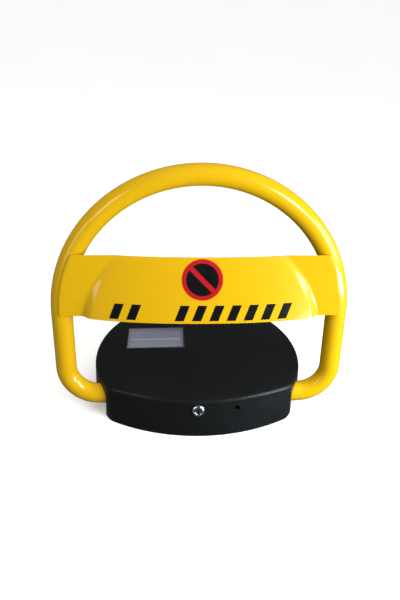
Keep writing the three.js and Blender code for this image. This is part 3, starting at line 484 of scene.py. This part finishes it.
class Shader:
    """A principled material and the few node chains that every finish here is made of."""

    def __init__(self, name, color, roughness, metallic=0.0, **extra):
        self.material = bpy.data.materials.new(name)
        self.material.use_nodes = True
        self.tree = self.material.node_tree
        self.main = self.tree.nodes["Principled BSDF"]
        self.main.inputs["Base Color"].default_value = (*color, 1)
        self.main.inputs["Roughness"].default_value = roughness
        self.main.inputs["Metallic"].default_value = metallic
        for socket, value in extra.items():
            self.main.inputs[socket.replace("_", " ")].default_value = value
        self.coords = self.tree.nodes.new("ShaderNodeTexCoord").outputs["Object"]
        self.normal = None

    def link(self, source, target):
        self.tree.links.new(source, target)

    def place(self, stretch):
        """Object coordinates, stretched by a factor along each axis."""
        mapping = self.tree.nodes.new("ShaderNodeMapping")
        mapping.inputs["Scale"].default_value = stretch
        self.link(self.coords, mapping.inputs["Vector"])
        return mapping.outputs["Vector"]

    def noise(self, scale, detail=3.0, roughness=0.55, stretch=None):
        node = self.tree.nodes.new("ShaderNodeTexNoise")
        node.inputs["Scale"].default_value = scale
        node.inputs["Detail"].default_value = detail
        node.inputs["Roughness"].default_value = roughness
        self.link(self.place(stretch) if stretch else self.coords, node.inputs["Vector"])
        return node.outputs["Fac"]

    def ramp(self, source, *stops):
        """stops are (position, value), the value a number or a colour."""
        node = self.tree.nodes.new("ShaderNodeValToRGB")
        elements = node.color_ramp.elements
        while len(elements) < len(stops):
            elements.new(0.5)
        for element, (position, value) in zip(elements, stops):
            element.position = position
            shade = value if isinstance(value, (list, tuple)) else (value,) * 3
            element.color = (*shade, 1)
        self.link(source, node.inputs["Fac"])
        return node.outputs["Color"]

    def color(self, source, *stops):
        self.link(self.ramp(source, *stops), self.main.inputs["Base Color"])

    def roughness(self, source, low, high):
        self.link(self.ramp(source, (0.3, low), (0.7, high)), self.main.inputs["Roughness"])

    def bump(self, source, strength, distance):
        node = self.tree.nodes.new("ShaderNodeBump")
        node.inputs["Strength"].default_value = strength
        node.inputs["Distance"].default_value = distance
        self.link(source, node.inputs["Height"])
        if self.normal:
            self.link(self.normal, node.inputs["Normal"])
        self.normal = node.outputs["Normal"]
        self.link(self.normal, self.main.inputs["Normal"])


def yellow_paint():
    """Thick powder coat: even colour, a very slight orange peel and a hard gloss over it."""
    s = Shader("yellow_powder_coat", (0.62, 0.36, 0.001), 0.4, Specular_IOR_Level=0.1, Coat_Weight=0.8)
    s.main.inputs["Coat IOR"].default_value = 1.5
    s.main.inputs["Coat Roughness"].default_value = 0.1
    s.color(s.noise(6, 4), (0.3, (0.595, 0.345, 0.001)), (0.7, (0.645, 0.378, 0.001)))
    s.roughness(s.noise(60, 4), 0.28, 0.4)
    s.bump(s.noise(260, 2), 0.1, 0.0004)
    s.bump(s.noise(1500, 1), 0.04, 0.0002)
    return s.material


def black_paint():
    """Fine-textured satin powder coat."""
    s = Shader("black_powder_coat", (0.004, 0.0048, 0.0052), 0.45, Specular_IOR_Level=0.14, Coat_Weight=0.15)
    s.main.inputs["Coat Roughness"].default_value = 0.2
    s.color(s.noise(8, 5), (0.3, (0.0032, 0.004, 0.0044)), (0.7, (0.005, 0.006, 0.0066)))
    s.roughness(s.noise(40, 5), 0.38, 0.52)
    s.bump(s.noise(1100, 2), 0.2, 0.0003)
    return s.material


def metal(name, color, rough, stretch=None, scratch=0.05):
    s = Shader(name, color, rough, 1.0)
    s.color(s.noise(25, 5), (0.25, [c * 0.72 for c in color]), (0.65, color))
    s.roughness(s.noise(180, 4, stretch=stretch), rough * 0.75, min(1, rough * 1.4))
    s.bump(s.noise(500, 3, stretch=stretch), scratch, 0.0003)
    return s.material


def plastic(name, color, rough, grain=0.15, scale=1500, **extra):
    s = Shader(name, color, rough, **extra)
    s.color(s.noise(12, 4), (0.3, color), (0.75, [c * 1.25 + 0.004 for c in color]))
    s.roughness(s.noise(90, 3), rough * 0.85, min(1, rough * 1.2))
    s.bump(s.noise(scale, 2), grain, 0.0003)
    return s.material


FINGER_PITCH = 2 * MM


def solar_silicon():
    """Blue-grey cell with fine collector fingers across it, in the pane's own coordinates."""
    s = Shader("solar_silicon", (0.1, 0.1, 0.15), 0.35, Coat_Weight=0.4)
    wave = s.tree.nodes.new("ShaderNodeTexWave")
    wave.bands_direction = "X"
    wave.inputs["Scale"].default_value = math.pi / 10 / FINGER_PITCH
    s.link(s.coords, wave.inputs["Vector"])
    cell, finger = (0.12, 0.12, 0.17), (0.3, 0.3, 0.36)
    s.color(wave.outputs["Fac"], (0.86, cell), (0.97, finger))
    s.roughness(s.noise(150, 4), 0.28, 0.45)
    s.bump(s.noise(350, 3), 0.08, 0.0002)
    return s.material


def clear_pane():
    """Slightly hazed polycarbonate, thin enough to look straight through."""
    s = Shader("clear_pane", (0.3, 0.31, 0.4), 0.22, Alpha=0.3, Coat_Weight=0.6, Coat_Roughness=0.08)
    s.color(s.noise(18, 4), (0.3, (0.27, 0.28, 0.37)), (0.7, (0.33, 0.34, 0.43)))
    s.roughness(s.noise(120, 4), 0.16, 0.3)
    s.bump(s.noise(200, 2), 0.04, 0.0002)
    return s.material


STEEL = [0.42, 0.42, 0.43]
MATERIALS = {
    "yellow_paint": yellow_paint(),
    "black_paint": black_paint(),
    "bare_steel": metal("machined_steel", STEEL, 0.38, (1, 1, 14), 0.1),
    "zinc_plate": metal("zinc_plating", [0.6, 0.6, 0.57], 0.32, scratch=0.06),
    "bronze": metal("sintered_bronze", [0.5, 0.28, 0.1], 0.42, scratch=0.12),
    "chrome": metal("polished_chrome", [0.6, 0.63, 0.68], 0.16, scratch=0.02),
    "grey_plastic": plastic("moulded_grey_plastic", [0.055, 0.06, 0.065], 0.55),
    "black_plastic": plastic(
        "moulded_black_plastic", [0.005, 0.005, 0.0055], 0.6, Specular_IOR_Level=0.15
    ),
    "rubber": plastic("black_rubber", [0.012, 0.012, 0.012], 0.8, 0.25, 900),
    "circuit_green": plastic("green_solder_mask", [0.008, 0.09, 0.025], 0.35, 0.08, 700),
    "cell_wrap": plastic("blue_cell_sleeve", [0.015, 0.09, 0.35], 0.3, 0.04, 300),
    "solar_blue": solar_silicon(),
    "window_clear": clear_pane(),
    "sign_print": plastic("black_print", [0.002, 0.002, 0.0025], 0.4, 0.05, 600, Specular_IOR_Level=0.08),
}
RED_PRINT = plastic("red_print", [0.34, 0.004, 0.008], 0.4, 0.05, 600, Specular_IOR_Level=0.15)
CELL_BACKING = plastic("cell_backing_sheet", [0.03, 0.032, 0.045], 0.5)
BUS_SILVER = plastic("printed_silver", [0.5, 0.5, 0.55], 0.45, 0.05, 600)
LOCK_STEEL = metal("lock_barrel_steel", [0.16, 0.2, 0.26], 0.25)


# ---- the CAD nodes that stay visible -----------------------------------------------------------------

BROKEN_EDGE = 0.35 * MM
PLAIN_EDGES = ("worm_shaft", "torsion_spring", "worm_wheel", "drive_gear", "output_pinion")


def dress_frame():
    """Gives every CAD node its finish and one welded surface, and all but the plain-edged few slightly
    broken edges.
    """
    slots = {part["node"]: part["material_slot"] for part in frame["record"]["subparts"]}
    for name, obj in frame["nodes"].items():
        obj.data.materials.clear()
        obj.data.materials.append(MATERIALS[slots[name]])
        for polygon in obj.data.polygons:
            polygon.use_smooth = True
        weld = obj.modifiers.new("weld", "WELD")
        weld.merge_threshold = 0.001 * MM
        if name in PLAIN_EDGES:
            obj.modifiers.new("split", "EDGE_SPLIT").split_angle = math.radians(35)
            continue
        round_edges(obj, BROKEN_EDGE, 2, 35).harden_normals = True


# ---- sign and bars -----------------------------------------------------------------------------------

PRINT_BACK = -0.1 * MM
DISC_FRONT = 0.14 * MM
SLASH_FRONT = 0.26 * MM
RING_FRONT = 0.32 * MM
RING_INNER = 23.8 * MM
RING_STEPS = 96
DISC_RADIUS = RING_INNER + 1 * MM  # the disc and the slash reach a little way under the ring
SLASH_WIDTH = 7 * MM
SLASH_ANGLE = math.radians(-45)
BAR_LOW = 151 * MM
BAR_HIGH = 174 * MM
BAR_WIDTH = 13.5 * MM
BAR_PITCH = 25.5 * MM
BAR_SLANT = 9 * MM
BAR_STARTS = ((-132.5 * MM, 2), (-36 * MM, 7))


def on_panel(x, h, lift):
    return in_hoop(x, panel_out(x, h) + lift, h)


def print_patch(where, lift, steps=16):
    """A thin patch on the panel. where(u, v) gives (x, h) for u and v from -1 to 1."""
    spots = [lerp(-1, 1, i / steps) for i in range(steps + 1)]
    grids = [[[on_panel(*where(u, v), out) for u in spots] for v in spots] for out in (lift, PRINT_BACK)]
    return sheet(*grids)


def in_disc(u, v, radius):
    """Takes the square of u and v to a round disc."""
    return radius * u * math.sqrt(1 - v * v / 2), SIGN_H + radius * v * math.sqrt(1 - u * u / 2)


def on_slash(u, v):
    along, across = u * DISC_RADIUS, v * SLASH_WIDTH / 2
    c, s = math.cos(SLASH_ANGLE), math.sin(SLASH_ANGLE)
    return along * c - across * s, SIGN_H + along * s + across * c


def ring_print():
    rings = []
    for radius, lift in (
        (SIGN_RADIUS, PRINT_BACK),
        (SIGN_RADIUS, RING_FRONT),
        (RING_INNER, RING_FRONT),
        (RING_INNER, PRINT_BACK),
        (SIGN_RADIUS, PRINT_BACK),
    ):
        angles = [2 * math.pi * i / RING_STEPS for i in range(RING_STEPS)]
        rings.append([on_panel(radius * math.cos(a), SIGN_H + radius * math.sin(a), lift) for a in angles])
    bm = loft(rings, cap=False)
    bmesh.ops.remove_doubles(bm, verts=bm.verts, dist=0.001 * MM)
    bmesh.ops.recalc_face_normals(bm, faces=bm.faces)
    return bm


def bar_print(start):
    def where(u, v):
        lean = BAR_SLANT * (v + 1) / 2
        return start + BAR_WIDTH * (u + 1) / 2 + lean - BAR_SLANT / 2, lerp(BAR_LOW, BAR_HIGH, (v + 1) / 2)

    return print_patch(where, DISC_FRONT, 10)


def sign_and_bars():
    black = MATERIALS["sign_print"]
    disc = print_patch(lambda u, v: in_disc(u, v, DISC_RADIUS), DISC_FRONT, 32)
    piece("sign_disc", disc, "hoop", black, ["sign_label"])
    piece("sign_ring", ring_print(), "hoop", RED_PRINT)
    piece("sign_slash", print_patch(on_slash, SLASH_FRONT), "hoop", RED_PRINT)
    number = 0
    for start, count in BAR_STARTS:
        for i in range(count):
            number += 1
            piece(f"hazard_bar_{number}", bar_print(start + i * BAR_PITCH), "hoop", black)


# ---- weld beads --------------------------------------------------------------------------------------


BEAD_RADIUS = 1.5 * MM
BEAD_STEPS = 60
BEAD_SIDES = 12
FRONT_BEAD = (0.6 * MM, 16.5 * MM)  # beyond the tube's centre line, and out from the hoop's plane
BACK_BEAD = (-7.5 * MM, 15.2 * MM)


def weld_bead(name, beyond, out, side):
    """A bead that follows the tube where the panel's end rests on it, with a slight ripple."""
    rings = []
    for i in range(BEAD_STEPS + 1):
        h = lerp(PANEL_BOTTOM + 1 * MM, PANEL_TOP - 1 * MM, i / BEAD_STEPS)
        angle = math.asin((h - SPRING_LINE) / HOOP_RADIUS)
        size = BEAD_RADIUS * (1 + 0.1 * math.sin(i * 2.4)) * (0.6 if i in (0, BEAD_STEPS) else 1)
        ring = []
        for k in range(BEAD_SIDES):
            turn = 2 * math.pi * k / BEAD_SIDES
            along = HOOP_RADIUS + beyond + size * math.cos(turn)
            x, up = along * math.cos(angle), SPRING_LINE + along * math.sin(angle)
            ring.append(in_hoop(side * x, out + size * math.sin(turn), up))
        rings.append(ring)
    piece(name, loft(rings), "hoop", MATERIALS["yellow_paint"])


def weld_beads():
    for side, word in ((-1, "left"), (1, "right")):
        weld_bead(f"panel_weld_front_{word}", *FRONT_BEAD, side)
        weld_bead(f"panel_weld_back_{word}", *BACK_BEAD, side)


# ---- solar panel and lock ------------------------------------------------------------------------------

BACKING_HALF = (48.2 * MM, 29.2 * MM)
BACKING_TOP = -1.75 * MM
BACKING_DEPTH = 1.1 * MM
CELL_LOW = (-43 * MM, -28 * MM)
CELL_HIGH = (43 * MM, 22 * MM)
CELL_TOP = -1.62 * MM
CELL_SUNK = 0.1 * MM  # how far the cell reaches into its backing, and the line into the cell
BUS_TOP = -1.55 * MM
BUS_LOW_Y = -4 * MM
BUS_HIGH_Y = -1 * MM


def solar_panel():
    """A dark backing plate with a smaller cell on it, and the silver line that crosses the cell."""
    x, y = BACKING_HALF
    backing = block((-x, -y, BACKING_TOP - BACKING_DEPTH), (x, y, BACKING_TOP))
    cell = block((*CELL_LOW, BACKING_TOP - CELL_SUNK), (*CELL_HIGH, CELL_TOP))
    bus = block((CELL_LOW[0], BUS_LOW_Y, CELL_TOP - CELL_SUNK), (CELL_HIGH[0], BUS_HIGH_Y, BUS_TOP))
    for name, bm, material, replaced in (
        ("solar_backing", backing, CELL_BACKING, ["solar_cell"]),
        ("solar_cell_face", cell, MATERIALS["solar_blue"], []),
        ("solar_bus", bus, BUS_SILVER, []),
    ):
        piece(name, bm, "base", material, replaced, place=WINDOW_PLACE)


def turned(profile, sides):
    """A closed body of revolution about local Y, from (radius, y) pairs in millimetres."""
    bm = bmesh.new()
    made = []
    for i in range(sides):
        angle = 2 * math.pi * i / sides
        ring = [(r * MM * math.cos(angle), y * MM, r * MM * math.sin(angle)) for r, y in profile]
        made.append([bm.verts.new(p) for p in ring])
    count = len(profile)
    for ring, after in zip(made, made[1:] + made[:1]):
        for j in range(count):
            k = (j + 1) % count
            bm.faces.new((ring[j], ring[k], after[k], after[j]))
    bmesh.ops.recalc_face_normals(bm, faces=bm.faces)
    return bm


LOCK_FACE = (
    (5.25, -2.7), (5.6, -3.15), (6.4, -3.4), (7.4, -3.15), (8.4, -2.6), (9.3, -1.8),
    (9.8, -1.1), (10, -0.6), (10, -0.3), (7.5, -0.3), (7.5, 24), (5.25, 24),
)
BARREL_FACE = ((0.01, -2.3), (3.6, -2.25), (4.7, -2.0), (5.0, -1.6), (5.0, 20), (0.01, 20))
KEY_LOW = Vector((-0.9, -4, -3.2)) * MM
KEY_HIGH = Vector((0.9, 6, 3.2)) * MM


def lock():
    """The lock's bright ring, and the barrel with its keyway."""
    chrome = MATERIALS["chrome"]
    ring, barrel = turned(LOCK_FACE, 80), turned(BARREL_FACE, 48)
    piece("lock_ring", ring, "base", chrome, ["lock_housing"], place=LOCK_PLACE)
    barrel_face = piece(
        "lock_barrel_face", barrel, "lock_core", LOCK_STEEL, ["lock_barrel"], place=LOCK_PLACE
    )
    subtract(barrel_face, block(KEY_LOW, KEY_HIGH, LOCK_PLACE))


# ---- the whole object ----------------------------------------------------------------------------------

dress_frame()
hoop_tube(MATERIALS["yellow_paint"])
crossbar_panel(MATERIALS["yellow_paint"])
sign_and_bars()
weld_beads()
top_cover(MATERIALS["black_paint"], LOCK_PLACE, SOCKET_PLACE, WINDOW_PLACE)
solar_panel()
lock()


# ---- floor and lights ----------------------------------------------------------------------------------


def floor():
    """A pale floor that glows a little, and that the object neither mirrors nor takes light from."""
    s = Shader("pale_floor", (0.9, 0.9, 0.89), 0.75)
    s.color(s.noise(1.5, 2), (0.3, (0.89, 0.89, 0.885)), (0.7, (0.91, 0.91, 0.905)))
    s.main.inputs["Emission Color"].default_value = (1, 0.98, 0.94, 1)
    s.main.inputs["Emission Strength"].default_value = 0.22
    bm = bmesh.new()
    bmesh.ops.create_grid(bm, x_segments=1, y_segments=1, size=60)
    obj = mesh_object("floor", bm)
    obj.data.materials.append(s.material)
    obj.visible_glossy = False
    obj.visible_diffuse = False


WHITE = (1, 1, 1)
CREAM = (1, 0.95, 0.8)
COOL = (0.85, 0.93, 1)
SOFTBOX_AIM = Vector((0, -0.1, 0.2))
SOFTBOXES = (  # name, position, width and height, power, colour
    ("right_high", (0.74, -0.88, 0.74), (0.4, 0.35), 9, WHITE),
    ("right_middle", (0.95, -0.7, 0.46), (0.3, 0.4), 5, WHITE),
    ("right_side", (0.75, -0.25, 0.4), (0.3, 0.3), 2, WHITE),
    ("right_low", (0.8, -0.6, 0.09), (0.5, 0.14), 7, COOL),
    ("left_high", (-0.68, -0.9, 0.74), (0.26, 0.4), 1.8, CREAM),
    ("left_middle", (-0.9, -0.7, 0.46), (0.24, 0.4), 1.2, CREAM),
)
SKY_COLOR = (0.96, 0.98, 1, 1)
SKY_STRENGTH = 0.16
OVERHEAD_POWER = 2.3
OVERHEAD_ANGLE = math.radians(85)


def softbox(name, position, size, power, color):
    """An area light that faces the middle of the hoop."""
    data = bpy.data.lights.new(name, "AREA")
    data.shape = "RECTANGLE"
    data.size, data.size_y = size
    data.energy = power
    data.color = color
    obj = bpy.data.objects.new(name, data)
    obj.location = position
    direction = SOFTBOX_AIM - Vector(position)
    obj.rotation_euler = direction.to_track_quat("-Z", "Y").to_euler()
    bpy.context.collection.objects.link(obj)


def studio():
    """A dim sky, a broad overhead light and softboxes, stronger on the right."""
    scene = bpy.context.scene
    scene.view_settings.view_transform = "Standard"
    world = bpy.data.worlds.new("studio")
    world.use_nodes = True
    background = world.node_tree.nodes["Background"]
    background.inputs["Color"].default_value = SKY_COLOR
    background.inputs["Strength"].default_value = SKY_STRENGTH
    scene.world = world
    data = bpy.data.lights.new("overhead", "SUN")
    data.energy = OVERHEAD_POWER
    data.angle = OVERHEAD_ANGLE
    overhead = bpy.data.objects.new("overhead", data)
    overhead.visible_glossy = False
    bpy.context.collection.objects.link(overhead)
    for setup in SOFTBOXES:
        softbox(*setup)


floor()
studio()
